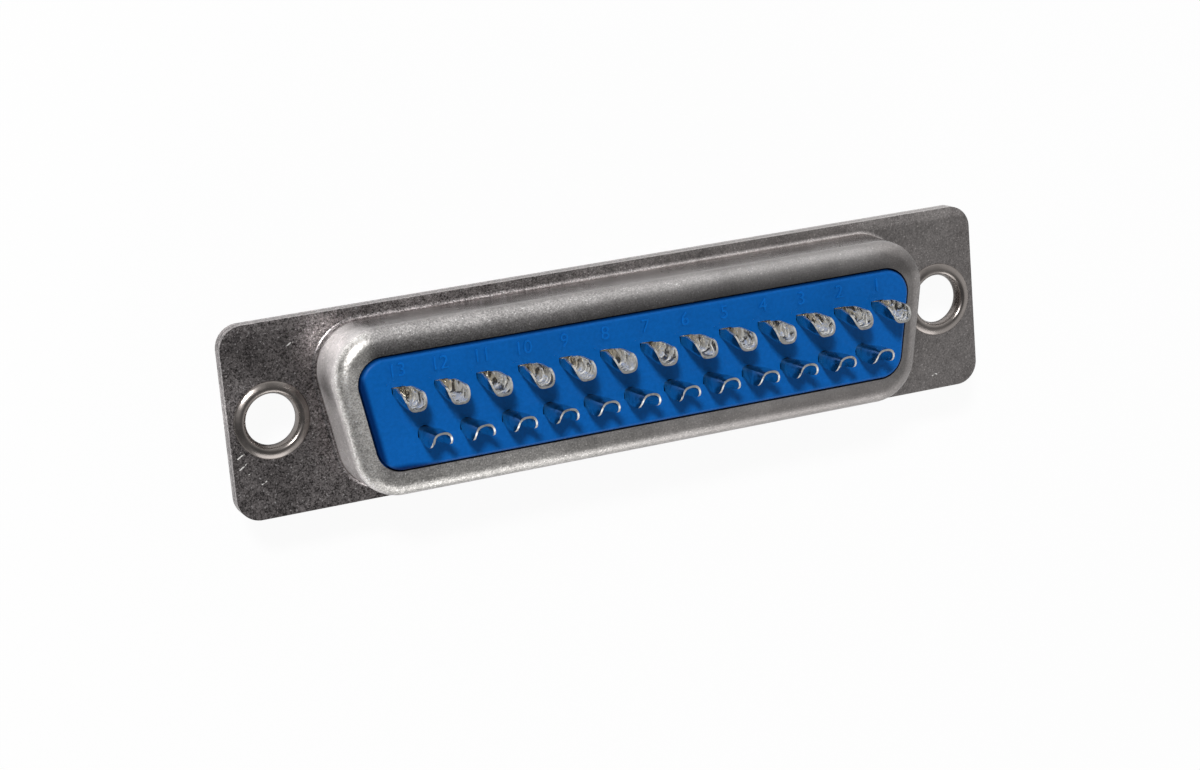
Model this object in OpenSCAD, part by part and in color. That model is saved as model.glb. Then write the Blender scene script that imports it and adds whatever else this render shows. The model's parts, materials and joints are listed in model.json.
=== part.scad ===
/* [Flange] */
// Length of both flange sheets
flange_length = 52.6; // [51.6:0.1:54]
// Width of both flange sheets
flange_width = 12.3; // [12:0.1:13.2]
// Corner radius of the flange sheets
flange_corner_radius = 1.5; // [0.6:0.1:2.4]
// Thickness of each steel sheet
sheet_thickness = 0.5; // [0.42:0.02:0.56]
// Distance between the two mounting holes
hole_spacing = 47.04; // [46.8:0.02:47.4]
// Clear diameter of each mounting hole
hole_diameter = 3.2; // [2.9:0.05:3.3]

/* [Rear body] */
// Height of the drawn rear body above the flange
body_height = 4; // [3.6:0.1:4.8]
// Length of the rear body, halfway between its long sides
body_mid_length = 40.2; // [39.8:0.1:40.8]
// Width of the rear body across its long sides
body_width = 10.72; // [10.6:0.02:10.9]
// Outer radius of the rear body's corners, seen from behind
body_corner_radius = 3; // [2.8:0.1:3.3]
// Outer radius of the rolled edge round the top of the body
body_roll_radius = 1; // [0.8:0.05:1.15]
// Radius where the body rises from the flange
body_foot_radius = 0.3; // [0.2:0.05:0.45]
// Length of the window, halfway between its long sides
window_mid_length = 37.54; // [37:0.02:38]
// Width of the window across its long sides
window_width = 7.36; // [7:0.02:7.6]
// Corner radius of the window
window_corner_radius = 1.7; // [1.6:0.1:1.8]

/* [Mating shroud] */
// Depth of the shroud in front of the panel face
shroud_depth = 5.9; // [5.6:0.1:6.4]
// Inside length of the shroud, halfway between its long sides
shroud_mid_length = 38.48; // [38.3:0.02:38.6]
// Inside width of the shroud across its long sides
shroud_width = 8.36; // [8.2:0.02:8.5]
// Inside radius of the shroud's corners
shroud_corner_radius = 2.6; // [2.3:0.1:2.8]
// Radius at the root of the shroud, on the panel side
shroud_root_radius = 0.5; // [0.3:0.05:0.7]
// Grounding dimples along each long side of the shroud
dimple_count = 6; // [2:1:8]
// How far each dimple stands into the shroud
dimple_height = 0.25; // [0.15:0.05:0.3]

/* [Contacts] */
// Spacing of the contacts along a row
contact_pitch = 2.77; // [2.74:0.01:2.78]
// Distance between the two rows
row_spacing = 2.84; // [2.7:0.02:3]
// Diameter of the mating pins
pin_diameter = 1; // [0.9:0.05:1.1]
// Diameter of the thicker shank that holds a contact in the insulator
shank_diameter = 1.4; // [1.32:0.02:1.6]
// How far the pin tips stay inside the shroud's rim
pin_setback = 0.5; // [0.3:0.1:1]
// Outside width of the solder cups
cup_width = 1.44; // [1.3:0.02:1.6]
// Sheet thickness of the cups
cup_wall = 0.2; // [0.16:0.02:0.26]
// Length of the cups behind the insulator
cup_length = 3.3; // [2.8:0.1:4]
// Height of the cup's side walls above its centre line, at the insulator
cup_side_height = 0.48; // [0.36:0.02:0.6]
// Height of the side walls where the rounded nose begins
cup_nose_height = 0.35; // [0.2:0.01:0.36]

/* [Insulators] */
// How far the front insulator reaches into the shroud
insulator_nose = 1; // [0.6:0.1:1.6]
// Thickness of the front insulator's flange
insulator_flange_thickness = 1.9; // [1.6:0.1:2.2]
// How far the rear insulator's face stands out of the window
face_height = 0.25; // [0.1:0.05:0.4]
// Radius round the edge of the rear insulator's face
face_edge_radius = 0.25; // [0.15:0.05:0.35]

/* [Clearances] */
// Gap between the insulators and the steel shells, each side
insulator_gap = 0.08; // [0.05:0.01:0.12]
// Gap between the rear insulator's face and the window, each side
window_gap = 0.12; // [0.06:0.02:0.16]
// Gap round each pin, cup and collar in the insulators
contact_gap = 0.04; // [0.03:0.01:0.06]
// Gap between an eyelet and its holes
eyelet_gap = 0.03; // [0.02:0.01:0.05]

/* [Hidden] */
$fn = 64;
wide_row_count = 13;
narrow_row_count = 12;
side_angle = 10;
// Curved pieces overlap by this angle and stand this much proud of the straight ones beside them
blend_angle = 8;
blend_step = 0.002;
// Depth of the swept skin inside a rounded D solid
skin = 0.6;
cut_over = 1;

// Heights: the panel face is z = 0, the solder side is up
joint_z = sheet_thickness;
flange_top = joint_z + sheet_thickness;
rim_top = flange_top + body_height;
rim_under = rim_top - sheet_thickness;
split_z = joint_z + insulator_flange_thickness;
shroud_rim = -shroud_depth;
pin_tip = shroud_rim + pin_setback;
// The shank's shoulder stands a little clear of the insulator, where a mating sleeve stops
shank_z = -insulator_nose - 0.1;

// The shroud's restruck rear corner, which gives the front insulator a flat seat
seat_radius = 0.3;

dimple_ball_radius = 1;
dimple_dent_radius = 0.6;
dimple_z = shroud_rim / 2 - 0.5;
dimple_span = 25;

insulator_width = body_width - 2 * (sheet_thickness + insulator_gap);
insulator_length = body_mid_length - 2 * (sheet_thickness + insulator_gap) / cos(side_angle);
insulator_corner_radius = body_corner_radius - sheet_thickness - insulator_gap;
land_step = body_roll_radius - sheet_thickness;
land_height = land_step + insulator_gap;
face_z = rim_top + face_height;
face_width = window_width - 2 * window_gap;
face_length = window_mid_length - 2 * window_gap / cos(side_angle);
face_corner_radius = window_corner_radius - window_gap;
shoulder_z = rim_under - 2 * blend_step;
face_root_z = rim_under - 0.1;
nose_width = shroud_width - 2 * insulator_gap;
nose_length = shroud_mid_length - 2 * insulator_gap / cos(side_angle);
nose_corner_radius = shroud_corner_radius - insulator_gap;

cup_radius = cup_width / 2;
cup_tip = face_z + cup_length;
cup_floor_z = face_z - 0.35;
cup_nose_drop = 0.6;
cup_nose_radius = cup_nose_height + cup_nose_drop;
cup_nose_z = cup_tip - cup_nose_radius;
collar_radius = 0.95;
collar_height = 0.6;
collar_z = split_z - collar_height;

eyelet_wall = 0.3;
hole_radius = hole_diameter / 2;
eyelet_radius = hole_radius + eyelet_wall;
eyelet_hole_radius = eyelet_radius + eyelet_gap;
eyelet_lip_height = 0.25;
eyelet_flare_radius = 0.35;
eyelet_lip_x = hole_radius + eyelet_flare_radius;
eyelet_head_radius = eyelet_radius + 0.38;
eyelet_head_height = 0.35;
eyelet_head_slope = (eyelet_head_radius - eyelet_radius) / eyelet_head_height;

// A D has half length w at y = 0, half width h and corner radius r; its wide side faces +Y.
function d_centre_x(w, y, r) = w + y * tan(side_angle) - r / cos(side_angle);
function d_centres(w, h, r) = [
    [d_centre_x(w, h - r, r), h - r],
    [-d_centre_x(w, h - r, r), h - r],
    [-d_centre_x(w, r - h, r), r - h],
    [d_centre_x(w, r - h, r), r - h]
];
function side_normal(a) = [cos(a), sin(a)];

module d_face(w, h, r)
{
    c = d_centres(w, h, r);
    e = r - blend_step;
    n = side_normal(-side_angle);
    polygon([
        c[0] + e * n, c[0] + [0, e],
        c[1] + [0, e], c[1] + e * [-n[0], n[1]],
        c[2] + e * [-n[0], n[1]], c[2] - [0, e],
        c[3] - [0, e], c[3] + e * n
    ]);
    for (p = c)
        translate(p) circle(r = r);
}

module d_prism(w, h, r, z0, z1)
{
    translate([0, 0, z0]) linear_extrude(height = z1 - z0) d_face(w, h, r);
}

// One straight run of sheet: child 0 is its section, x measured outward from the line p-q
module d_run(p, q)
{
    v = q - p;
    translate([p[0], p[1], 0])
        rotate([90, 0, atan2(v[1], v[0]) - 90])
            mirror([0, 0, 1])
                linear_extrude(height = norm(v)) children();
}

module d_turn(p, start, angle)
{
    translate([p[0], p[1], 0])
        rotate([0, 0, start - blend_angle])
            rotate_extrude(angle = angle + 2 * blend_angle) children();
}

// Child 0 is the section for the straight runs, child 1 the section for the corners
module d_sweep(w, h, r)
{
    c = d_centres(w, h, r);
    d_run(c[0], c[1]) children(0);
    d_run(c[1], c[2]) children(0);
    d_run(c[2], c[3]) children(0);
    d_run(c[3], c[0]) children(0);
    d_turn(c[0], -side_angle, 90 + side_angle) children(1);
    d_turn(c[1], 90, 90 + side_angle) children(1);
    d_turn(c[2], 180 + side_angle, 90 - side_angle) children(1);
    d_turn(c[3], 270, 90 - side_angle) children(1);
}

// A solid D from z0 to z1 whose skin, with an edge of the given radius, is swept from the two sections
module d_solid(w, h, r, edge, z0, z1)
{
    core = edge + skin / 2;
    e = 2 * blend_step;
    d_prism(w - core / cos(side_angle), h - core, r - core, z0 + e, z1 - e);
    d_sweep(w, h, r)
    {
        children(0);
        children(1);
    }
}

// Quarter of a ring: x and y say which side of the centre it lies on
module quarter(inner, outer, x, y)
{
    s = outer + cut_over;
    difference()
    {
        circle(r = outer);
        if (inner > 0) circle(r = inner);
        translate([x > 0 ? -s : 0, -s]) square([s, 2 * s]);
        translate([-s, y > 0 ? -s : 0]) square([2 * s, s]);
    }
}

module plate_face()
{
    x = flange_length / 2;
    y = flange_width / 2;
    r = flange_corner_radius;
    e = blend_step;
    polygon([
        [x - e, y - r], [x - r, y - e], [r - x, y - e], [e - x, y - r],
        [e - x, r - y], [r - x, e - y], [x - r, e - y], [x - e, r - y]
    ]);
    for (sx = [-1, 1], sy = [-1, 1])
        translate([sx * (x - r), sy * (y - r)]) circle(r = r);
}

module flange_plate(z)
{
    translate([0, 0, z]) linear_extrude(height = sheet_thickness) plate_face();
}

module eyelet_holes()
{
    for (s = [-1, 1])
        translate([s * hole_spacing / 2, 0, 0])
        {
            translate([0, 0, -cut_over])
                cylinder(r = eyelet_hole_radius, h = flange_top + 2 * cut_over);
            rotate_extrude() polygon([
                [0, -cut_over],
                [eyelet_head_radius + eyelet_gap + cut_over * eyelet_head_slope, -cut_over],
                [eyelet_hole_radius, eyelet_head_height],
                [0, eyelet_head_height]
            ]);
        }
}

// Outside and inside of the drawn shroud in section, x from the centre of the corner radius.
// e pulls a section in, for the straight runs.
module shroud_outside(e)
{
    x = shroud_corner_radius + sheet_thickness;
    q = shroud_root_radius;
    difference()
    {
        union()
        {
            translate([x - skin, shroud_rim + e]) square([skin - e, shroud_depth - q - e]);
            translate([x - skin, -q]) square([skin + q, q + sheet_thickness / 2 - e]);
        }
        translate([x + q, -q]) circle(r = q + blend_step + e);
    }
}

module shroud_inside(e)
{
    x = shroud_corner_radius;
    difference()
    {
        union()
        {
            translate([x - skin, shroud_rim - cut_over + e])
                square([skin - e, shroud_depth + cut_over + joint_z - seat_radius - e]);
            translate([x - skin, joint_z - seat_radius])
                square([skin + seat_radius, seat_radius + cut_over - e]);
        }
        translate([x + seat_radius, joint_z - seat_radius])
            circle(r = seat_radius + blend_step + e);
    }
}

module dimple_row(side)
{
    for (i = [0 : dimple_count - 1])
        translate([
            dimple_span * (i / (dimple_count - 1) - 0.5),
            side * (shroud_width / 2 - dimple_height + dimple_ball_radius),
            dimple_z
        ])
            children();
}

module dimple_bumps(side)
{
    y0 = shroud_width / 2 - cut_over;
    intersection()
    {
        dimple_row(side) sphere(r = dimple_ball_radius);
        translate([-dimple_span, side > 0 ? y0 : -y0 - cut_over - sheet_thickness / 2, shroud_rim])
            cube([2 * dimple_span, cut_over + sheet_thickness / 2, shroud_depth]);
    }
}

module shroud()
{
    w = shroud_mid_length / 2;
    h = shroud_width / 2;
    r = shroud_corner_radius;
    t = sheet_thickness;
    difference()
    {
        union()
        {
            flange_plate(0);
            d_solid(w + t / cos(side_angle), h + t, r + t, 0, shroud_rim, t / 2)
            {
                shroud_outside(blend_step);
                shroud_outside(0);
            }
        }
        d_solid(w, h, r, 0, shroud_rim - cut_over, joint_z + cut_over)
        {
            shroud_inside(blend_step);
            shroud_inside(0);
        }
    }
}

module front_shell()
{
    color("silver")
        difference()
        {
            union()
            {
                shroud();
                dimple_bumps(1);
                dimple_bumps(-1);
            }
            dimple_row(1) sphere(r = dimple_dent_radius);
            dimple_row(-1) sphere(r = dimple_dent_radius);
            eyelet_holes();
        }
}

// Outside and inside of the drawn body in section, x from the centre of the corner radius.
// Both foot curves are struck from one centre, a hair low so that they cross the flange's faces.
module body_outside(e)
{
    x = body_corner_radius;
    q = body_foot_radius;
    a = body_roll_radius;
    base = flange_top - sheet_thickness / 2 + e;
    translate([x - a - skin, base]) square([skin, rim_top - e - base]);
    translate([x - a - e, rim_top - a - e]) quarter(0, a, 1, 1);
    difference()
    {
        union()
        {
            translate([x - a - skin / 2, flange_top + q]) square([a + skin / 2 - e, body_height - a - q - e]);
            translate([x - a - skin / 2, base]) square([a + skin / 2 + q, flange_top + q - base]);
        }
        translate([x + q, flange_top + q]) circle(r = q + blend_step + e);
    }
}

module body_inside(e)
{
    x = body_corner_radius - sheet_thickness;
    q = body_foot_radius + sheet_thickness;
    a = body_roll_radius - sheet_thickness;
    base = joint_z - cut_over + e;
    translate([x - a - skin, base]) square([skin, rim_under - e - base]);
    translate([x - a - e, rim_under - a - e]) quarter(0, a, 1, 1);
    difference()
    {
        union()
        {
            translate([x - a - skin / 2, joint_z + q])
                square([a + skin / 2 - e, rim_under - a - joint_z - q - e]);
            translate([x - a - skin / 2, base]) square([a + skin / 2 + q, joint_z + q - base]);
        }
        translate([x + q, joint_z + q]) circle(r = q + blend_step + e);
    }
}

module rear_shell()
{
    w = body_mid_length / 2;
    h = body_width / 2;
    r = body_corner_radius;
    t = sheet_thickness;
    color("gainsboro")
        difference()
        {
            union()
            {
                flange_plate(joint_z);
                d_solid(w, h, r, body_roll_radius, flange_top - t / 2, rim_top)
                {
                    body_outside(blend_step);
                    body_outside(0);
                }
            }
            d_solid(w - t / cos(side_angle), h - t, r - t, body_roll_radius - t, joint_z - cut_over, rim_under)
            {
                body_inside(blend_step);
                body_inside(0);
            }
            d_prism(window_mid_length / 2, window_width / 2, window_corner_radius,
                flange_top + cut_over, rim_top + cut_over);
            eyelet_holes();
        }
}

// Contacts 1 to 13 run from +X to -X in the wide row, 14 to 25 in the narrow row
function in_wide_row(i) = i <= wide_row_count;
function contact_x(i) = in_wide_row(i)
    ? contact_pitch * ((wide_row_count + 1) / 2 - i)
    : contact_pitch * ((narrow_row_count + 1) / 2 + wide_row_count - i);
function contact_y(i) = (in_wide_row(i) ? 1 : -1) * row_spacing / 2;

module at_every_contact()
{
    for (i = [1 : wide_row_count + narrow_row_count])
        translate([contact_x(i), contact_y(i), 0])
            mirror([0, in_wide_row(i) ? 0 : 1, 0]) children();
}

module front_insulator()
{
    color("royalblue")
        difference()
        {
            union()
            {
                d_prism(insulator_length / 2, insulator_width / 2, insulator_corner_radius,
                    joint_z, split_z);
                d_prism(nose_length / 2, nose_width / 2, nose_corner_radius,
                    -insulator_nose, joint_z);
            }
            at_every_contact()
            {
                translate([0, 0, -insulator_nose - cut_over])
                    cylinder(r = shank_diameter / 2 + contact_gap, h = insulator_nose + split_z + 2 * cut_over);
                translate([0, 0, collar_z])
                    cylinder(r = collar_radius + contact_gap, h = collar_height + cut_over);
            }
        }
}

// Section of the rounded edge of the face, x from the centre of its corner radius
module face_section(e)
{
    x = face_corner_radius - face_edge_radius;
    base = face_root_z + e;
    translate([x - skin, base]) square([skin + face_edge_radius - e, face_z - face_edge_radius - base]);
    translate([x - skin, base]) square([skin, face_z - e - base]);
    translate([x, face_z - face_edge_radius]) quarter(0, face_edge_radius - e, 1, 1);
}

// Outline of a cup: a half circle closed toward -Y with straight walls up to the height top
module cup_outline(radius, top)
{
    half = radius - blend_step;
    circle(r = radius);
    translate([-half, 0]) square([2 * half, top]);
}

module rear_insulator()
{
    w = face_length / 2;
    h = face_width / 2;
    r = face_corner_radius;
    color("dodgerblue")
        difference()
        {
            union()
            {
                d_prism(insulator_length / 2, insulator_width / 2, insulator_corner_radius,
                    split_z, rim_under - land_height);
                d_prism(insulator_length / 2 - land_step / cos(side_angle), insulator_width / 2 - land_step,
                    insulator_corner_radius - land_step, rim_under - land_height, shoulder_z);
                d_solid(w, h, r, face_edge_radius, face_root_z, face_z)
                {
                    face_section(blend_step);
                    face_section(0);
                }
            }
            at_every_contact()
                translate([0, 0, split_z - cut_over])
                    linear_extrude(height = face_z - split_z + 2 * cut_over)
                        cup_outline(cup_radius + contact_gap, cup_side_height + contact_gap);
        }
}

module eyelet(side)
{
    color("lightgrey")
        translate([side * hole_spacing / 2, 0, 0])
            rotate_extrude()
            {
                translate([hole_radius, 0])
                    square([eyelet_wall, flange_top + eyelet_lip_height - eyelet_flare_radius]);
                polygon([[eyelet_radius, 0], [eyelet_head_radius, 0], [eyelet_radius, eyelet_head_height]]);
                difference()
                {
                    translate([eyelet_lip_x, flange_top + eyelet_lip_height - eyelet_flare_radius])
                        quarter(0, eyelet_flare_radius, -1, 1);
                    translate([eyelet_radius, 0]) square([eyelet_wall, flange_top]);
                }
                translate([eyelet_lip_x, flange_top]) quarter(0, eyelet_lip_height, 1, 1);
            }
}

module eyelet_left() { eyelet(-1); }
module eyelet_right() { eyelet(1); }

// Half section of the round part of a contact
module contact_section()
{
    pin_radius = pin_diameter / 2;
    translate([0, pin_tip + pin_radius]) quarter(0, pin_radius, 1, -1);
    translate([0, pin_tip + pin_radius]) square([pin_radius, shank_z - pin_tip - pin_radius]);
    translate([0, shank_z]) square([shank_diameter / 2, collar_z - shank_z]);
    translate([0, collar_z]) square([collar_radius, collar_height]);
}

// Side view of what is cut away to open the cup: x is the height z, y is toward the open side
module cup_cut_face()
{
    polygon([
        [face_z, cup_side_height], [cup_nose_z, cup_nose_height],
        [cup_nose_z, cup_width], [face_z, cup_width]
    ]);
    difference()
    {
        translate([cup_nose_z, -cup_width]) square([cup_length, 2 * cup_width]);
        translate([cup_nose_z, -cup_nose_drop]) circle(r = cup_nose_radius);
    }
}

module cup()
{
    difference()
    {
        translate([0, 0, split_z]) linear_extrude(height = cup_tip - split_z)
            cup_outline(cup_radius, cup_side_height);
        translate([0, 0, cup_floor_z]) linear_extrude(height = cup_tip)
            cup_outline(cup_radius - cup_wall, cup_width);
        rotate([0, -90, 0])
            linear_extrude(height = 2 * cup_width, center = true) cup_cut_face();
    }
}

module contact(i)
{
    color("khaki")
        translate([contact_x(i), contact_y(i), 0])
            mirror([0, in_wide_row(i) ? 0 : 1, 0])
            {
                rotate_extrude() contact_section();
                cup();
            }
}

module contact_01() { contact(1); }
module contact_02() { contact(2); }
module contact_03() { contact(3); }
module contact_04() { contact(4); }
module contact_05() { contact(5); }
module contact_06() { contact(6); }
module contact_07() { contact(7); }
module contact_08() { contact(8); }
module contact_09() { contact(9); }
module contact_10() { contact(10); }
module contact_11() { contact(11); }
module contact_12() { contact(12); }
module contact_13() { contact(13); }
module contact_14() { contact(14); }
module contact_15() { contact(15); }
module contact_16() { contact(16); }
module contact_17() { contact(17); }
module contact_18() { contact(18); }
module contact_19() { contact(19); }
module contact_20() { contact(20); }
module contact_21() { contact(21); }
module contact_22() { contact(22); }
module contact_23() { contact(23); }
module contact_24() { contact(24); }
module contact_25() { contact(25); }

front_shell();
rear_shell();
front_insulator();
rear_insulator();
eyelet_left();
eyelet_right();
contact_01();
contact_02();
contact_03();
contact_04();
contact_05();
contact_06();
contact_07();
contact_08();
contact_09();
contact_10();
contact_11();
contact_12();
contact_13();
contact_14();
contact_15();
contact_16();
contact_17();
contact_18();
contact_19();
contact_20();
contact_21();
contact_22();
contact_23();
contact_24();
contact_25();
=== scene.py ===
import json
import math
import random

import bpy
from mathutils import Euler, Matrix, Vector


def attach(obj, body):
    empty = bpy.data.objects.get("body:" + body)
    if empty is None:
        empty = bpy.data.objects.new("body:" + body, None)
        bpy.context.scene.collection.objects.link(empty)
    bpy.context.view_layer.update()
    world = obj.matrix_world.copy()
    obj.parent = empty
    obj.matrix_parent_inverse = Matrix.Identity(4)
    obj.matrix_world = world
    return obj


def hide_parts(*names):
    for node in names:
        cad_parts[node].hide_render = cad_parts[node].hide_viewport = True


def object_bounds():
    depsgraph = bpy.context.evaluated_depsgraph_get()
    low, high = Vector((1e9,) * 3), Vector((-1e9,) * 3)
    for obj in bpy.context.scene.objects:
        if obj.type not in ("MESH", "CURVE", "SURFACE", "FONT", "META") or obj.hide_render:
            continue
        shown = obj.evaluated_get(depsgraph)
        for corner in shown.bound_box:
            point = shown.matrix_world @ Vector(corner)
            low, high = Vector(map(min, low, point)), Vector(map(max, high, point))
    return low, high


# A 25-way solder-cup D-sub plug, seen from its solder side. The shells and insulators keep the
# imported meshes. The contacts and eyelets get finer ones, and the moulded numbers are added.
# Lengths are in metres in the part's own frame, which is also every piece's Object space.

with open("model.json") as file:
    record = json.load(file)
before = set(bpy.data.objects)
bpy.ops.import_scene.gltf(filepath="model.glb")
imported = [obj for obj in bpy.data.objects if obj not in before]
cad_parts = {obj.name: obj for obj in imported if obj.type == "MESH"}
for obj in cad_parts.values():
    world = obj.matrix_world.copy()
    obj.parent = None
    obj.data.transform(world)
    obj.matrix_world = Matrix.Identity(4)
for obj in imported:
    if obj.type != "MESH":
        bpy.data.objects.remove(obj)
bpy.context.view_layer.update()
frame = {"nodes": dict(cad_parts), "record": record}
nodes = frame["nodes"]
MM = 0.001

# ---------------------------------------------------------------- places on the part

JOINT_Z, FLANGE_TOP_Z, FACE_Z = 0.5 * MM, 1.0 * MM, 5.25 * MM
FACE_HALF_LENGTH, FACE_HALF_WIDTH = 18.65 * MM, 3.56 * MM
WINDOW_HALF_WIDTH = 3.68 * MM
END_SLOPE = math.tan(math.radians(10))
HOLE_X = 23.52 * MM

# Each range is where a zone of the steel fades in along one axis.
LEFT_TO_RIGHT_X = (-15 * MM, 12 * MM)
# The next two ranges fade in the rim's painted shade at its right end and its painted lit left side.
SHADED_RIGHT_END_X = (15.5 * MM, 18.6 * MM)
LIT_LEFT_RIM_X = (17.6 * MM, 18.8 * MM)
# Painted light on the left wall fades in over the next range.
LIT_LEFT_WALL_X = (17.3 * MM, 19.0 * MM)
UPPER_SIDE_Y = (2.6 * MM, 3.5 * MM)
LOWER_SIDE_Y = (3.2 * MM, 4.4 * MM)
TOP_STRIP_Y = (5.3 * MM, 5.7 * MM)
SHROUD_Z = (-0.6 * MM, -0.1 * MM)
# The painted highlight along the wall's foot rises and falls over the next four heights.
WALL_FOOT_HIGHLIGHT_Z = (1.01 * MM, 1.10 * MM, 1.22 * MM, 1.36 * MM)
WALL_Z = (1.15 * MM, 1.5 * MM)
RIM_Z = (4.25 * MM, 4.75 * MM)
# The rolled edge beside the window, where painted shade falls, and the crown of its roll, where a
# painted highlight lies, measured out from the window.
WINDOW_EDGE_SHADE = (-0.05 * MM, 1.15 * MM)
ROLL_CROWN_HIGHLIGHT = (0.9 * MM, 1.3 * MM, 1.45 * MM, 1.7 * MM)

LIGHT_PATCH, LIGHT_PATCH_FADE = (-25.3 * MM, 1.0 * MM, 1.0 * MM), (0.3 * MM, 2.6 * MM)
BROWN_STAIN, BROWN_STAIN_FADE = (-20.3 * MM, 1.9 * MM, 2.8 * MM), (0.2 * MM, 2.0 * MM)

# Scratches on the flange, from one end to the other, in millimetres.
SCRATCH_WIDTH = 0.055 * MM
SCRATCHES = [
    ((-25.95, -2.05), (-25.50, -1.78)),
    ((-25.88, -2.75), (-25.42, -2.45)),
    ((-25.70, -3.25), (-25.25, -3.12)),
    ((-25.10, -1.20), (-24.92, -1.42)),
    ((-24.60, -3.90), (-24.30, -3.75)),
    ((-22.10, 4.40), (-21.75, 4.62)),
    ((-21.30, -3.10), (-21.12, -3.30)),
    ((22.84, -5.22), (23.02, -5.08)),
    ((23.02, -5.08), (23.18, -5.16)),
]

# ---------------------------------------------------------------- colours

FLANGE_LEFT, FLANGE_RIGHT = (0.275, 0.252, 0.250, 1), (0.345, 0.322, 0.315, 1)
WALL_LEFT, WALL_RIGHT = (0.40, 0.38, 0.375, 1), (0.37, 0.35, 0.345, 1)
# The rim's colours by side are painted light and shade: lightest on the lit left side, the lower
# side lighter at the left than at the right, darkest at the shaded right end.
LOWER_RIM_LEFT, LOWER_RIM_RIGHT = (0.49, 0.475, 0.455, 1), (0.37, 0.348, 0.338, 1)
UPPER_RIM = (0.42, 0.405, 0.40, 1)
LIT_LEFT_RIM, SHADED_RIGHT_RIM = (0.80, 0.775, 0.74, 1), (0.30, 0.283, 0.276, 1)
SCRATCH = (1.0, 0.99, 0.96, 1)
RIVET = (0.30, 0.272, 0.255, 1)
TIN, TIN_ROOT = (0.95, 0.94, 0.90), (0.90, 0.83, 0.70)
BLUE = (0.0006, 0.100, 0.385)
# Painted shade for the edges and sides of the blue face.
BLUE_EDGE_SHADE = (0.000607, 0.010330, 0.068478, 1)
WHITE = (1, 1, 1, 1)
FLOOR = (0.86, 0.86, 0.86, 1)


def scaled(color, k):
    return (color[0] * k, color[1] * k, color[2] * k, 1.0)


# ---------------------------------------------------------------- helpers for node trees


class Nodes:
    """Short calls for building one node tree."""

    def __init__(self, tree):
        self.tree = tree
        tree.nodes.clear()

    def node(self, kind, **props):
        n = self.tree.nodes.new("ShaderNode" + kind)
        for key, value in props.items():
            setattr(n, key, value)
        return n

    def put(self, value, socket):
        """Link an output to the socket, or set a plain value on it."""
        if isinstance(value, bpy.types.NodeSocket):
            self.tree.links.new(value, socket)
        else:
            socket.default_value = value

    def math(self, op, a, b=0.0, c=0.0, clamp=False):
        n = self.node("Math", operation=op, use_clamp=clamp)
        for value, socket in zip((a, b, c), n.inputs):
            self.put(value, socket)
        return n.outputs[0]

    def vector(self, op, a, b, out="Vector"):
        n = self.node("VectorMath", operation=op)
        self.put(a, n.inputs[0])
        self.put(b, n.inputs[1])
        return n.outputs[out]

    def add(self, a, b):
        return self.math("ADD", a, b)

    def less(self, a, b):
        return self.math("SUBTRACT", a, b)

    def mul(self, a, b):
        return self.math("MULTIPLY", a, b)

    def inverse(self, value):
        return self.math("SUBTRACT", 1.0, value)

    def negative(self, value):
        return self.math("MULTIPLY", value, -1.0)

    def ramp(self, value, low, high):
        """0 below low, 1 above high, smooth between."""
        n = self.node("MapRange", interpolation_type="SMOOTHSTEP")
        self.put(value, n.inputs["Value"])
        n.inputs["From Min"].default_value = low
        n.inputs["From Max"].default_value = high
        return n.outputs["Result"]

    def band(self, value, low, full, fall, high):
        """1 from full to fall, 0 below low and above high."""
        return self.mul(self.ramp(value, low, full), self.inverse(self.ramp(value, fall, high)))

    def remap(self, value, a, b, c, d):
        """a to b becomes c to d, and stays there beyond."""
        n = self.node("MapRange")
        self.put(value, n.inputs["Value"])
        for key, v in zip(("From Min", "From Max", "To Min", "To Max"), (a, b, c, d)):
            n.inputs[key].default_value = v
        return n.outputs["Result"]

    def mix(self, fac, a, b):
        n = self.node("Mix", data_type="RGBA")
        self.put(fac, n.inputs[0])
        self.put(a, n.inputs[6])
        self.put(b, n.inputs[7])
        return n.outputs[2]

    def lerp(self, fac, a, b):
        n = self.node("Mix", data_type="FLOAT")
        self.put(fac, n.inputs[0])
        self.put(a, n.inputs[2])
        self.put(b, n.inputs[3])
        return n.outputs[0]

    def times(self, color, factor):
        """A colour or vector times a number."""
        n = self.node("VectorMath", operation="SCALE")
        self.put(color if isinstance(color, bpy.types.NodeSocket) else color[:3], n.inputs[0])
        self.put(factor, n.inputs["Scale"])
        return n.outputs[0]

    def mix_shader(self, fac, a, b):
        n = self.node("MixShader")
        for value, socket in zip((fac, a, b), n.inputs):
            self.put(value, socket)
        return n.outputs[0]


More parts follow.
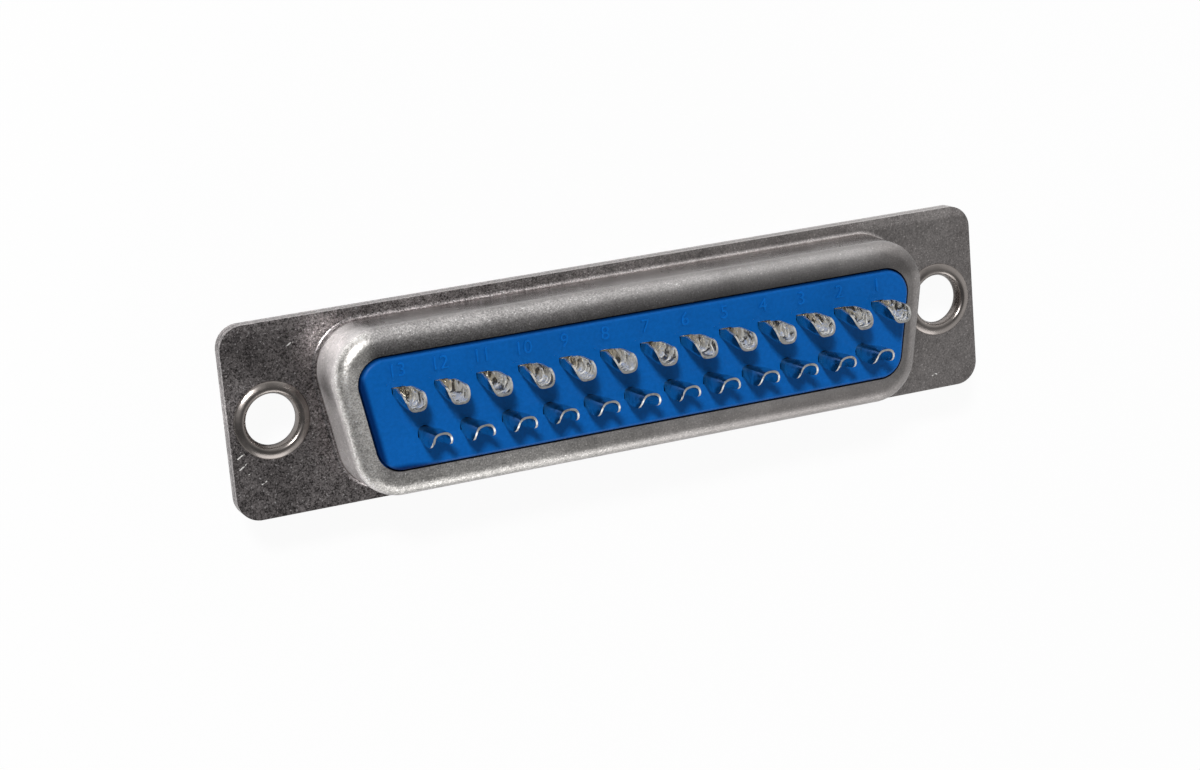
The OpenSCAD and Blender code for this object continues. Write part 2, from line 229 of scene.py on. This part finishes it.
class Mat(Nodes):
    """The node tree of one material."""

    def __init__(self, name):
        self.mat = bpy.data.materials.new(name)
        self.mat.use_nodes = True
        super().__init__(self.mat.node_tree)
        self.place = self.node("TexCoord").outputs["Object"]

    def xyz(self):
        n = self.node("SeparateXYZ")
        self.put(self.place, n.inputs[0])
        return n.outputs

    def noise(self, scale, detail, rough, distortion=0.0):
        n = self.node("TexNoise")
        self.put(self.place, n.inputs["Vector"])
        n.inputs["Scale"].default_value = scale
        n.inputs["Detail"].default_value = detail
        n.inputs["Roughness"].default_value = rough
        n.inputs["Distortion"].default_value = distortion
        return n.outputs["Fac"]

    def away(self, point, fade):
        """0 at the point and 1 far from it; fade is the distances where the rise starts and ends."""
        return self.ramp(self.vector("DISTANCE", self.place, point, "Value"), *fade)

    def bump(self, height, distance, strength, normal=None):
        n = self.node("Bump")
        n.inputs["Strength"].default_value = strength
        n.inputs["Distance"].default_value = distance
        self.put(height, n.inputs["Height"])
        if normal is not None:
            self.put(normal, n.inputs["Normal"])
        return n.outputs[0]

    def surface(self, shader):
        self.put(shader, self.node("OutputMaterial").inputs["Surface"])
        return self.mat

    def principled(self, color, rough, metallic, normal, specular=None):
        n = self.node("BsdfPrincipled")
        self.put(color, n.inputs["Base Color"])
        self.put(rough, n.inputs["Roughness"])
        self.put(metallic, n.inputs["Metallic"])
        self.put(normal, n.inputs["Normal"])
        if specular is not None:
            self.put(specular, n.inputs["Specular IOR Level"])
        return self.surface(n.outputs[0])


# ---------------------------------------------------------------- plated steel


def rim_color(m, x, y, to_right):
    """Colour of the rolled rim, painted light and shade: a lit tone at the left, shade beside the
    window and at the right end, and a highlight on the top of the roll.
    """
    low_side = m.ramp(m.negative(y), *LOWER_SIDE_Y)
    left_side = m.ramp(m.negative(x), *LIT_LEFT_RIM_X)
    upper_side = m.ramp(y, *UPPER_SIDE_Y)
    from_window = m.less(y, WINDOW_HALF_WIDTH)
    off_edge = m.lerp(upper_side, 1.0, m.ramp(from_window, *WINDOW_EDGE_SHADE))
    crown_highlight = m.mul(upper_side, m.band(from_window, *ROLL_CROWN_HIGHLIGHT))
    right_end_shade = m.mul(m.ramp(x, *SHADED_RIGHT_END_X), m.lerp(low_side, 1.0, 0.35))

    # All painted light and shade: the upper side darkens toward the window, the left side takes a
    # lit tone, the right end a shaded tone, the rim darkens again at the window's edge, and the top
    # of the roll gets a highlight.
    upper = m.times(UPPER_RIM, m.lerp(off_edge, 0.46, 1.0))
    lower = m.mix(to_right, LOWER_RIM_LEFT, LOWER_RIM_RIGHT)
    color = m.mix(left_side, m.mix(low_side, upper, lower), LIT_LEFT_RIM)
    color = m.mix(right_end_shade, color, SHADED_RIGHT_RIM)
    color = m.times(color, m.lerp(off_edge, 0.62, 1.0))
    return m.times(color, m.lerp(crown_highlight, 1.0, 1.35))


def grained(m, color, amount):
    """Fine grain of the plating, and painted glints in it as bright specks."""
    both = m.add(m.mul(m.noise(8600, 2, 0.8), 0.72), m.mul(m.noise(2600, 3, 0.6), 0.28))
    grain = m.remap(both, 0.38, 0.62, -1.0, 1.0)
    color = m.times(color, m.add(m.mul(grain, amount), 1.0))
    # painted glints: sparse bright specks on the grain
    painted_glints = m.ramp(m.noise(8200, 2, 0.65), 0.60, 0.70)
    return m.times(color, m.add(m.mul(m.mul(painted_glints, amount), 3.0), 1.0))


def stroke(m, a, b):
    """1 on the line from a to b on the flange's rear face, 0 away from it."""
    start = Vector((a[0], a[1], 0)) * MM
    span = Vector((b[0], b[1], 0)) * MM - start
    start.z = FLANGE_TOP_Z
    offset = m.vector("SUBTRACT", m.place, start)
    along = m.vector("DOT_PRODUCT", offset, span, "Value")
    foot = m.times(tuple(span), m.math("DIVIDE", along, span.length_squared, clamp=True))
    gap = m.vector("DISTANCE", offset, foot, "Value")
    return m.inverse(m.ramp(gap, 0.4 * SCRATCH_WIDTH, SCRATCH_WIDTH))


def scratches(m):
    """1 on the broken lines of all scratches."""
    marks = 0.0
    for a, b in SCRATCHES:
        marks = m.math("MAXIMUM", marks, stroke(m, a, b))
    return m.mul(marks, m.ramp(m.noise(3800, 2, 0.6), 0.42, 0.52))


def plated_shell(name):
    """Plated sheet steel, with its grain, scratches and seam, a brown stain and a lighter patch by
    the left hole, and painted light: glints in the grain, shade and highlights on the rolled rim, a
    lit left wall and a highlight along the wall's foot.
    """
    m = Mat(name)
    x, y, z = m.xyz()
    cloud = m.noise(230, 4, 0.6)
    to_right = m.ramp(x, *LEFT_TO_RIGHT_X)
    on_wall = m.ramp(z, *WALL_Z)
    on_rim = m.ramp(z, *RIM_Z)
    off_rim = m.inverse(on_rim)

    flange = m.mix(to_right, FLANGE_LEFT, FLANGE_RIGHT)
    flange = m.times(flange, m.lerp(m.ramp(y, *TOP_STRIP_Y), 1.0, 1.45))
    wall = m.mix(to_right, WALL_LEFT, WALL_RIGHT)
    color = m.mix(on_rim, m.mix(on_wall, flange, wall), rim_color(m, x, y, to_right))
    color = m.times(color, m.remap(cloud, 0.3, 0.7, 0.88, 1.10))

    # the grain is coarse on the flange and weaker to the right, on the rim, the wall and the shroud
    amount = m.mul(m.lerp(to_right, 1.0, 0.35), m.lerp(on_rim, 0.80, 0.42))
    amount = m.mul(amount, m.lerp(m.mul(on_wall, off_rim), 1.0, 0.25))
    amount = m.mul(amount, m.lerp(m.ramp(z, *SHROUD_Z), 0.4, 1.0))
    color = grained(m, color, amount)
    marks = scratches(m)
    color = m.mix(marks, color, SCRATCH)

    # dark line where the two flanges meet, painted light that lightens the left wall, and a painted
    # highlight along the wall's foot
    off_seam = m.ramp(m.math("ABSOLUTE", m.less(z, JOINT_Z)), 0.02 * MM, 0.07 * MM)
    color = m.times(color, m.lerp(off_seam, 0.12, 1.0))
    lit_left_wall = m.mul(m.mul(m.ramp(m.negative(x), *LIT_LEFT_WALL_X), on_wall), off_rim)
    color = m.times(color, m.lerp(lit_left_wall, 1.0, 1.85))
    color = m.times(color, m.lerp(m.band(z, *WALL_FOOT_HIGHLIGHT_Z), 1.0, 1.7))
    color = m.mix(m.away(BROWN_STAIN, BROWN_STAIN_FADE), m.times(color, 0.38), color)
    color = m.times(color, m.lerp(m.away(LIGHT_PATCH, LIGHT_PATCH_FADE), 1.75, 1.0))

    rough = m.lerp(on_rim, m.lerp(on_wall, 0.30, 0.26), 0.42)
    rough = m.add(rough, m.remap(cloud, 0.3, 0.7, -0.06, 0.06))
    rough = m.lerp(marks, rough, 0.6)
    normal = m.bump(m.noise(5200, 2, 0.7), 0.02 * MM, 0.6)
    normal = m.bump(m.noise(1500, 3, 0.6), 0.015 * MM, 0.5, normal)
    return m.principled(color, rough, m.lerp(lit_left_wall, 1.0, 0.12), normal)


# ---------------------------------------------------------------- other materials


def plated_rivet(name):
    m = Mat(name)
    cloud = m.noise(700, 3, 0.6)
    color = m.times(RIVET, m.remap(cloud, 0.3, 0.7, 0.85, 1.12))
    normal = m.bump(m.noise(4200, 2, 0.6), 0.004 * MM, 0.4)
    return m.principled(color, m.remap(cloud, 0.3, 0.7, 0.22, 0.32), 1.0, normal)


def cup_plating(name, light, dark, rough, folds, waves, metal):
    """Tin of a cup, with painted light and shade: full tone where it lies flat, painted shade in its
    folds, warmer toward the root.

    light scales the colour and dark scales the painted shade in the folds, folds is the scale of the
    folds and waves their depth.
    """
    m = Mat(name)
    z = m.xyz()[2]
    band = m.noise(folds, 2, 0.5, 0.8)
    root = m.inverse(m.ramp(z, 5.4 * MM, 7.0 * MM))
    color = m.mix(root, scaled(TIN, light), scaled(TIN_ROOT, light))
    color = m.times(color, m.remap(band, 0.38, 0.48, dark, 1.0))
    patches = m.remap(m.noise(1500, 3, 0.6), 0.3, 0.7, -0.04, 0.05)
    spread = m.add(m.lerp(root, rough, rough + 0.08), patches)
    normal = m.bump(m.noise(6500, 2, 0.6), 0.004 * MM, 0.5)
    return m.principled(color, spread, metal, m.bump(band, waves, 0.8, normal))


def blue_plastic(name, light):
    """Moulded plastic, with painted shade along the left and lower edges of the face and down its
    sides.
    """
    m = Mat(name)
    x, y, z = m.xyz()
    cloud = m.remap(m.noise(260, 3, 0.5), 0.3, 0.7, 0.0, 1.0)
    speck = m.noise(4200, 2, 0.7)
    color = m.mix(cloud, scaled(BLUE, 1.05 * light), scaled(BLUE, 0.95 * light))
    color = m.times(color, m.remap(speck, 0.36, 0.64, 0.93, 1.07))

    # painted shade along the left and lower edges of the face, and down its sides below the face
    from_left = m.add(m.add(x, m.mul(y, END_SLOPE)), FACE_HALF_LENGTH)
    from_low = m.add(m.add(y, FACE_HALF_WIDTH), m.mul(m.ramp(x, -17 * MM, -12 * MM), 0.5 * MM))
    from_edge = m.math("MINIMUM", from_left, from_low)
    shade = m.mul(m.inverse(m.ramp(from_edge, 0.14 * MM, 0.52 * MM)), 0.9)
    side = m.mul(m.inverse(m.ramp(z, FACE_Z - 0.16 * MM, FACE_Z - 0.02 * MM)), 0.7)
    dark = m.math("MAXIMUM", shade, side)
    color = m.mix(dark, color, BLUE_EDGE_SHADE)

    normal = m.bump(m.noise(9000, 2, 0.6), 0.003 * MM, 0.5)
    rough = m.remap(speck, 0.3, 0.7, 0.36, 0.48)
    return m.principled(color, rough, 0.0, normal, specular=m.lerp(dark, 0.14, 0.02))


steel = plated_shell("plated_steel")
rivet = plated_rivet("rivet_plating")
cup_metal = cup_plating("contact_plating", light=0.66, dark=0.66, rough=0.12,
                        folds=1100, waves=0.02 * MM, metal=1.0)
# The wide row's inside is a lighter copy of the tin with deep painted shade in its folds: painted
# light and shade.
lit_cup_inside = cup_plating("contact_plating_inside", light=0.92, dark=0.12, rough=0.13,
                         folds=1500, waves=0.36 * MM, metal=0.62)
cup_edge = cup_plating("contact_plating_edge", light=0.66, dark=0.70, rough=0.30,
                       folds=2200, waves=0.02 * MM, metal=0.9)
blue = blue_plastic("blue_plastic", 1.0)
# The numbers use a lighter copy of the blue, painted light on the raised digits.
lit_number_blue = blue_plastic("blue_plastic_numbers_lit", 1.25)

SLOTS = {"plated_steel": steel, "plated_rivet": rivet,
         "contact_plating": cup_metal, "blue_plastic": blue}
slot_of = {s["node"]: s["material_slot"] for s in frame["record"]["subparts"]}
for name, obj in nodes.items():
    for s in obj.material_slots:
        s.material = SLOTS[slot_of[name]]


def add_object(mesh):
    obj = bpy.data.objects.new(mesh.name, mesh)
    bpy.context.scene.collection.objects.link(obj)
    return obj


def unit_circle(n):
    return [(math.cos(2 * math.pi * i / n), math.sin(2 * math.pi * i / n)) for i in range(n)]


# ---------------------------------------------------------------- contacts with flared cups

rng = random.Random(25)
PITCH, ROW_Y = 2.77 * MM, 1.42 * MM
WIDE_ROW, NARROW_ROW = 13, 12
TURN_MOST, WIDTH_LEAST = 4.0, 0.97

PIN_RADIUS, PIN_TIP_Z = 0.5 * MM, -5.4 * MM
SHANK_RADIUS, SHANK_Z = 0.70 * MM, -1.1 * MM
COLLAR_RADIUS, COLLAR_Z, SPLIT_Z = 0.95 * MM, 1.8 * MM, 2.4 * MM
NECK_RADIUS = 0.42 * MM
TIP_STEPS, PIN_SIDES = 8, 32

CUP_LENGTH, CUP_TIP_Z = 3.3 * MM, 8.548 * MM
CUP_FLOOR_Z = FACE_Z - 0.25 * MM
ROOT_RADIUS, NOSE_RADIUS, WALL = 0.44 * MM, 0.67 * MM, 0.125 * MM
FLARE_SHARE, FLARE_POWER = 0.80, 0.85
# Height of the sheet's edge above the cup's axis: at the root, halfway and at the nose.
ROOT_SIDE, MID_SIDE, NOSE_SIDE = 0.26 * MM, 0.44 * MM, 0.35 * MM
# How far the scooped nose drops below the axis, and along which length.
NOSE_DROP, NOSE_LENGTH = 0.6 * MM, 0.90 * MM
NOSE_Z = CUP_TIP_Z - NOSE_LENGTH
SQUARENESS, SPLAY = 0.70, 0.17
ACROSS, BODY_STEPS, NOSE_STEPS = 25, 16, 12
EDGE_RADIUS, EDGE_ANGLE = 0.018 * MM, math.radians(40)
OUTSIDE, INSIDE, EDGE = 0, 1, 2


def ease(t):
    t = min(max(t, 0.0), 1.0)
    return t * t * (3 - 2 * t)


def cup_radius(z):
    rise = ease((z - FACE_Z) / (FLARE_SHARE * CUP_LENGTH)) ** FLARE_POWER
    return ROOT_RADIUS + (NOSE_RADIUS - ROOT_RADIUS) * rise


def cup_top(z):
    """Height of the sheet's edge above the axis at z."""
    if z > NOSE_Z:
        round_off = math.sqrt(max(1 - ((z - NOSE_Z) / NOSE_LENGTH) ** 2, 0.0))
        return -NOSE_DROP + (NOSE_SIDE + NOSE_DROP) * round_off
    t = (z - FACE_Z) / (NOSE_Z - FACE_Z)
    if t < 0.5:
        return ROOT_SIDE + (MID_SIDE - ROOT_SIDE) * ease(t / 0.5)
    return MID_SIDE + (NOSE_SIDE - MID_SIDE) * ease((t - 0.5) / 0.5)


def squared(v):
    """Cosine or sine of a rounder or squarer arc."""
    return math.copysign(abs(v) ** SQUARENESS, v)


def u_path(radius, top):
    """Points along a U from its right edge over the closed side to its left edge, evenly spaced."""
    leg = max(top, 0.0)
    dip = -math.asin(min(-top / radius, 1.0) ** (1 / SQUARENESS)) if top < 0 else 0.0
    total = 2 * leg + (math.pi + 2 * dip) * radius
    points = []
    for i in range(ACROSS):
        s = total * i / (ACROSS - 1)
        if s < leg:
            points.append((radius, leg - s))
        elif s > total - leg:
            points.append((-radius, s - (total - leg)))
        else:
            a = dip - (s - leg) / radius
            points.append((radius * squared(math.cos(a)), radius * squared(math.sin(a))))
    return points


def cup_loop(z, width):
    """Section of the cup's sheet at z: the outer U, then the inner one back."""
    radius = cup_radius(z) * width
    inner = radius - WALL
    top = cup_top(z)
    if top < 0:
        top = max(top, -inner * 0.995)
    splay = SPLAY * ease((z - FACE_Z) / CUP_LENGTH)
    return [(px * (1 + splay * (ease((py / radius + 0.8) / 1.3) - 0.4)), py)
            for px, py in u_path(radius, top) + u_path(inner, top)[::-1]]


class Loft:
    """Rings of points about one contact's axis and the faces between them.

    Points and faces are given as they run in the wide row; the narrow row is its mirror image.
    """

    def __init__(self, cx, cy, flip, turn):
        self.cx, self.cy, self.flip = cx, cy, flip
        self.cos, self.sin = math.cos(turn), math.sin(turn)
        self.verts, self.faces, self.kinds = [], [], []

    def ring(self, points, z):
        start = len(self.verts)
        for px, py in points:
            x, y = self.cos * px - self.sin * py, self.sin * px + self.cos * py
            self.verts.append((self.cx + x, self.cy + self.flip * y, z))
        return start

    def face(self, corners, kind=OUTSIDE):
        self.faces.append(corners if self.flip > 0 else corners[:1] + corners[:0:-1])
        self.kinds.append(kind)

    def skin(self, a, b, n, kind_of=lambda i: OUTSIDE):
        for i in range(n):
            j = (i + 1) % n
            self.face((a + i, a + j, b + j, b + i), kind_of(i))


def add_pin(loft):
    """Pin with its rounded tip, shank, collar and the neck under the cup."""
    circle = unit_circle(PIN_SIDES)
    profile = []
    for k in range(TIP_STEPS + 1):
        a = math.pi / 2 * (TIP_STEPS - k) / TIP_STEPS
        r = max(PIN_RADIUS * math.cos(a), 0.004 * MM)
        profile.append((r, PIN_TIP_Z + PIN_RADIUS * (1 - math.sin(a))))
    profile += [(PIN_RADIUS, SHANK_Z), (SHANK_RADIUS, SHANK_Z), (SHANK_RADIUS, COLLAR_Z),
                (COLLAR_RADIUS, COLLAR_Z), (COLLAR_RADIUS, SPLIT_Z), (NECK_RADIUS, SPLIT_Z)]
    rings = [loft.ring([(r * u, r * v) for u, v in circle], z) for r, z in profile]
    loft.face(tuple(range(rings[0], rings[0] + PIN_SIDES))[::-1])
    for a, b in zip(rings, rings[1:]):
        loft.skin(a, b, PIN_SIDES)
    loft.face(tuple(range(rings[-1], rings[-1] + PIN_SIDES)))


def cup_face_kind(i):
    """Which surface of the sheet the i-th face round a section belongs to."""
    if i < ACROSS - 1:
        return OUTSIDE
    return INSIDE if ACROSS <= i < 2 * ACROSS - 1 else EDGE


def add_cup(loft, width):
    """Cup: the section swept from the split to the nose, with both ends and a floor closed."""
    body = [CUP_FLOOR_Z + (NOSE_Z - CUP_FLOOR_Z) * i / BODY_STEPS for i in range(BODY_STEPS + 1)]
    nose = [NOSE_Z + NOSE_LENGTH * math.sin(math.pi / 2 * i / NOSE_STEPS) * 0.9999
            for i in range(1, NOSE_STEPS + 1)]
    rings = [loft.ring(cup_loop(z, width), z) for z in [SPLIT_Z] + body + nose]
    for a, b in zip(rings, rings[1:]):
        loft.skin(a, b, 2 * ACROSS, cup_face_kind)
    first, last = rings[0], rings[-1]
    for i in range(ACROSS - 1):
        back = 2 * ACROSS - 1 - i
        loft.face((last + i, last + i + 1, last + back - 1, last + back), EDGE)
        loft.face((first + i, first + back, first + back - 1, first + i + 1))
    floor_start = rings[1] + ACROSS
    loft.face(tuple(range(floor_start, floor_start + ACROSS))[::-1])


def make_contact(index):
    wide = index <= WIDE_ROW
    if wide:
        cx, cy, flip = PITCH * ((WIDE_ROW + 1) / 2 - index), ROW_Y, 1.0
    else:
        cx, cy, flip = PITCH * ((NARROW_ROW + 1) / 2 + WIDE_ROW - index), -ROW_Y, -1.0
    turn = math.radians(rng.uniform(-TURN_MOST, TURN_MOST))
    width = rng.uniform(WIDTH_LEAST, 1.0)
    loft = Loft(cx, cy, flip, turn)
    add_pin(loft)
    add_cup(loft, width)

    mesh = bpy.data.meshes.new("contact_%02d_look" % index)
    mesh.from_pydata(loft.verts, [], loft.faces)
    for f in mesh.polygons:
        f.use_smooth = True
        f.material_index = loft.kinds[f.index]
    # the narrow row is seen from outside, so its inside is plain metal; the wide row's inside is the
    # lighter copy, painted light and shade
    for look in (cup_metal, lit_cup_inside if wide else cup_metal, cup_edge):
        mesh.materials.append(look)
    obj = add_object(mesh)
    bevel = obj.modifiers.new("edges", "BEVEL")
    bevel.width = EDGE_RADIUS
    bevel.segments = 2
    bevel.limit_method = "ANGLE"
    bevel.angle_limit = EDGE_ANGLE
    bevel.harden_normals = True
    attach(obj, "root")
    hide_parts("contact_%02d" % index)
    return cx, cy, flip


places = [make_contact(i) for i in range(1, WIDE_ROW + NARROW_ROW + 1)]

# ---------------------------------------------------------------- plastic round the cups' roots

PASSAGE_RADIUS, PASSAGE_SIDE = 0.7595 * MM, 0.5195 * MM
PLUG_DEPTH, PLUG_GAP, PLUG_SIDES = 0.4 * MM, 0.02 * MM, 72


def reach(c, d, radius, top):
    """How far a ray along (c, d) runs in a U closed by an arc, with straight sides up to top."""
    if d <= 0:
        return radius
    return min(radius / max(abs(c), 1e-6), top / d)


def root_plug(index, cx, cy, flip):
    """Plastic between the narrow root of a cup and the wider passage in the insulator."""
    n = PLUG_SIDES
    outer, inner = [], []
    for c, d in unit_circle(n):
        r = max(PASSAGE_RADIUS, reach(c, d, PASSAGE_RADIUS, PASSAGE_SIDE))
        outer.append((cx + r * c, cy + flip * r * d))
        r = reach(c, d, ROOT_RADIUS + PLUG_GAP, ROOT_SIDE + PLUG_GAP)
        inner.append((cx + r * c, cy + flip * r * d))
    verts = [(x, y, z) for z in (FACE_Z - PLUG_DEPTH, FACE_Z) for ring in (outer, inner)
             for x, y in ring]
    faces = []
    for i in range(n):
        j = (i + 1) % n
        faces.append((2 * n + i, 2 * n + j, 3 * n + j, 3 * n + i))
        faces.append((n + i, n + j, 3 * n + j, 3 * n + i))
    mesh = bpy.data.meshes.new("root_plug_%02d" % index)
    mesh.from_pydata(verts, [], faces)
    mesh.validate()
    mesh.materials.append(blue)
    obj = add_object(mesh)
    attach(obj, "root")


for i, (cx, cy, flip) in enumerate(places, start=1):
    root_plug(i, cx, cy, flip)

# ---------------------------------------------------------------- rolled eyelets

# Section as radius and height in millimetres: the front cone, the tube, the lip rolled over the
# rear flange, and the bore back to the flared front.
EYELET = [
    (1.98, 0.0), (2.24, 0.0), (1.93, 0.32), (1.90, 0.36), (1.90, 1.0),
    (2.42, 1.003), (2.44, 1.03), (2.42, 1.07), (2.34, 1.12), (2.24, 1.17), (2.14, 1.21),
    (2.04, 1.235), (1.94, 1.235), (1.84, 1.20), (1.76, 1.13), (1.70, 1.03), (1.66, 0.92),
    (1.63, 0.78), (1.62, 0.62), (1.64, 0.46), (1.70, 0.30), (1.80, 0.16), (1.90, 0.06),
]
EYELET_SIDES = 96


def make_eyelet(name, x0):
    n = EYELET_SIDES
    circle = unit_circle(n)
    verts = [(x0 + r * MM * u, r * MM * v, z * MM) for r, z in EYELET for u, v in circle]
    faces = []
    for k in range(len(EYELET)):
        a, b = k * n, (k + 1) % len(EYELET) * n
        for i in range(n):
            j = (i + 1) % n
            faces.append((a + i, a + j, b + j, b + i))
    mesh = bpy.data.meshes.new(name + "_look")
    mesh.from_pydata(verts, [], faces)
    mesh.validate()
    for f in mesh.polygons:
        f.use_smooth = True
    mesh.set_sharp_from_angle(angle=EDGE_ANGLE)
    mesh.materials.append(rivet)
    obj = add_object(mesh)
    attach(obj, "root")
    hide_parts(name)


make_eyelet("eyelet_left", -HOLE_X)
make_eyelet("eyelet_right", HOLE_X)

# ---------------------------------------------------------------- moulded pin numbers

DIGIT_HEIGHT, DIGIT_RAISE, DIGIT_OFFSET = 0.85 * MM, 0.06 * MM, 1.28 * MM
CAPITAL_SHARE = 0.7


def pin_number(index, cx, cy, flip):
    curve = bpy.data.curves.new("number_%02d_text" % index, "FONT")
    curve.body = str(index)
    curve.size = DIGIT_HEIGHT / CAPITAL_SHARE
    curve.align_x = "CENTER"
    curve.align_y = "CENTER"
    curve.extrude = DIGIT_RAISE
    text = bpy.data.objects.new("text", curve)
    bpy.context.scene.collection.objects.link(text)
    bpy.context.view_layer.update()
    mesh = bpy.data.meshes.new_from_object(text)
    bpy.data.objects.remove(text)
    mesh.name = "number_%02d" % index
    mesh.transform(Matrix.Translation((cx, cy + flip * DIGIT_OFFSET, FACE_Z)))
    mesh.materials.clear()
    mesh.materials.append(lit_number_blue)
    obj = add_object(mesh)
    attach(obj, "root")


for i, (cx, cy, flip) in enumerate(places[:WIDE_ROW], start=1):
    pin_number(i, cx, cy, flip)

# ---------------------------------------------------------------- floor, lights and camera

FLOOR_HALF, FLOOR_GAP = 1.2, 0.00002
FLOOR_GLOW = 0.94

lo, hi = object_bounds()
floor_mesh = bpy.data.meshes.new("floor")
corners = [(FLOOR_HALF * u, FLOOR_HALF * v, 0) for u, v in ((-1, -1), (1, -1), (1, 1), (-1, 1))]
floor_mesh.from_pydata(corners, [], [(0, 1, 2, 3)])
floor = add_object(floor_mesh)
floor.location = (0, 0, lo.z - FLOOR_GAP)

m = Mat("floor_white")
paint = m.node("BsdfDiffuse")
paint.inputs["Color"].default_value = FLOOR
glow = m.node("Emission")
glow.inputs["Color"].default_value = WHITE
seen = m.mul(m.node("LightPath").outputs["Is Camera Ray"], FLOOR_GLOW)
floor_mesh.materials.append(m.surface(m.mix_shader(seen, paint.outputs[0], glow.outputs[0])))


def area_light(name, where, size, power):
    """A square lamp that points at the part."""
    data = bpy.data.lights.new(name, "AREA")
    data.shape = "SQUARE"
    data.size = size
    data.energy = power
    obj = bpy.data.objects.new(name, data)
    bpy.context.scene.collection.objects.link(obj)
    obj.location = where
    obj.rotation_euler = (-Vector(where)).to_track_quat("-Z", "Y").to_euler()


area_light("key", (-0.16, 0.20, 0.34), 0.045, 1.3)
area_light("fill", (0.05, -0.42, 0.16), 0.30, 0.5)

# The world is a studio whose light falls off upward and to the left, behind a white backdrop.
SKY_TILT = -0.5
SKY = [(0.0, (0.80, 0.80, 0.80, 1)), (1.0, (0.12, 0.12, 0.125, 1)),
       (0.25, (0.75, 0.75, 0.75, 1)), (0.5, (0.42, 0.42, 0.42, 1)),
       (0.64, (0.27, 0.27, 0.27, 1)), (0.80, (0.14, 0.14, 0.14, 1))]

world = bpy.data.worlds.new("studio")
bpy.context.scene.world = world
world.use_nodes = True
w = Nodes(world.node_tree)
split = w.node("SeparateXYZ")
w.put(w.node("TexCoord").outputs["Generated"], split.inputs[0])
ramp = w.node("ValToRGB")
w.put(w.math("MULTIPLY_ADD", split.outputs[0], SKY_TILT, split.outputs[2]), ramp.inputs[0])
stops = ramp.color_ramp.elements
for stop, (position, color) in zip(stops, SKY[:2]):
    stop.position, stop.color = position, color
for position, color in SKY[2:]:
    stops.new(position).color = color
sky, backdrop = w.node("Background"), w.node("Background")
w.put(ramp.outputs[0], sky.inputs["Color"])
w.put(WHITE, backdrop.inputs["Color"])
seen = w.node("LightPath").outputs["Is Camera Ray"]
w.put(w.mix_shader(seen, sky.outputs[0], backdrop.outputs[0]), w.node("OutputWorld").inputs[0])

CAMERA_PLACE = (-67.74 * MM, 39.60 * MM, 159.24 * MM)
CAMERA_TURN = (-11.4403, -23.7401, -5.2463)
SENSOR_WIDTH, FOCAL_LENGTH = 36.0, 82.209

cam_data = bpy.data.cameras.new("camera")
cam = bpy.data.objects.new("camera", cam_data)
bpy.context.scene.collection.objects.link(cam)
bpy.context.scene.camera = cam
cam_data.sensor_width = SENSOR_WIDTH
cam_data.lens = FOCAL_LENGTH
cam_data.clip_start, cam_data.clip_end = 0.01, 10
turn = Euler([math.radians(a) for a in CAMERA_TURN])
cam.matrix_world = Matrix.Translation(CAMERA_PLACE) @ turn.to_matrix().to_4x4()

scene = bpy.context.scene
scene.view_settings.view_transform = "Standard"
